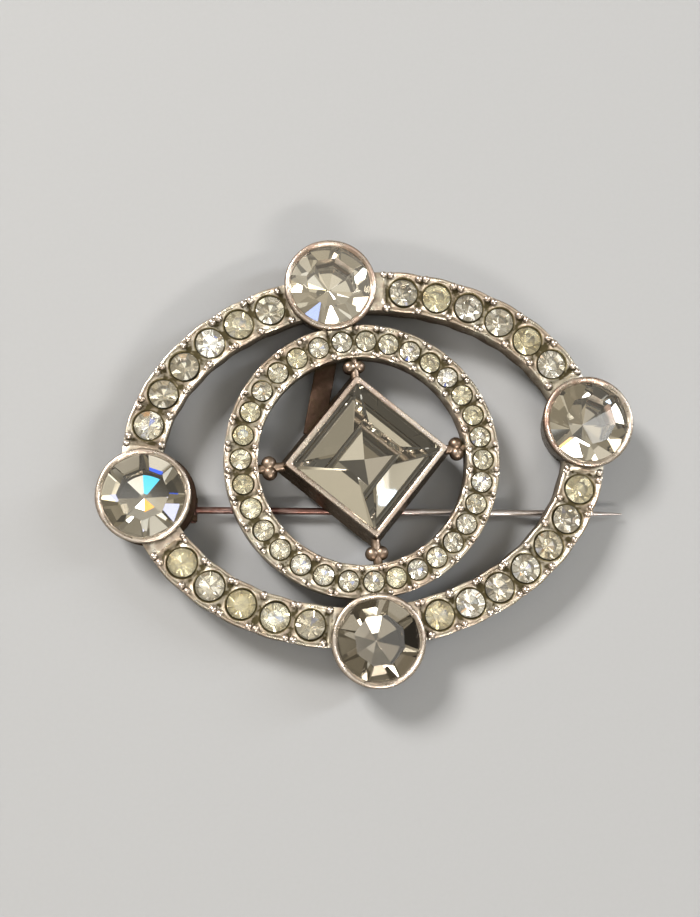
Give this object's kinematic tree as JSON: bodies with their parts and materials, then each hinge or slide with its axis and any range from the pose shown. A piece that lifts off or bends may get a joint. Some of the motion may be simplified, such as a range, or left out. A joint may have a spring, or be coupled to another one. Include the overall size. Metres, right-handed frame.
{
  "type": "oval brooch",
  "caption": "Open oval brooch of soldered metal: a band and an inner ring set with small stones, round stones in cups at its ends and sides, a square stone in the middle, and a hinged pin.",
  "frame": {"origin": "on the surface the brooch stands on, under the middle of its outline", "axes": "+X along the oval's long axis, towards the pin's point; +Z the way the stones face"},
  "size_m": [0.0502, 0.0416, 0.006],
  "materials": {
    "metal": "cast alloy with worn rose-silver plating, tarnished darker and olive in its hollows",
    "pin_metal": "drawn wire with worn plating",
    "rivet_metal": "plain wire rivet",
    "large_stones": "clear faceted glass with a mirror foil behind it",
    "small_stones": "clear faceted glass with a mirror foil behind it, a few yellowed"
  },
  "bodies": {
    "root": {"setting": "metal", "hinge_rivet": "rivet_metal", "round_stone_right": "large_stones", "round_stone_top": "large_stones", "round_stone_left": "large_stones", "round_stone_bottom": "large_stones", "square_stone": "large_stones", "ring_stones": "small_stones", "band_stone_01": "small_stones", "band_stone_02": "small_stones", "band_stone_03": "small_stones", "band_stone_04": "small_stones", "band_stone_05": "small_stones", "band_stone_06": "small_stones", "band_stone_07": "small_stones", "band_stone_08": "small_stones", "band_stone_09": "small_stones", "band_stone_10": "small_stones", "band_stone_11": "small_stones", "band_stone_12": "small_stones", "band_stone_13": "small_stones", "band_stone_14": "small_stones", "band_stone_15": "small_stones", "band_stone_16": "small_stones", "band_stone_17": "small_stones", "band_stone_18": "small_stones", "band_stone_19": "small_stones", "band_stone_20": "small_stones", "band_stone_21": "small_stones", "band_stone_22": "small_stones", "band_stone_23": "small_stones", "band_stone_24": "small_stones"},
    "pin": {"pin_stem": "pin_metal"}
  },
  "joints": [
    {"name": "pin_hinge", "type": "hinge", "parent": "root", "child": "pin", "pos_m": [-0.01657, -0.0026, 0.001], "axis": [0.1172, 0.9931, 0], "range_deg": [0, 90]}
  ]
}
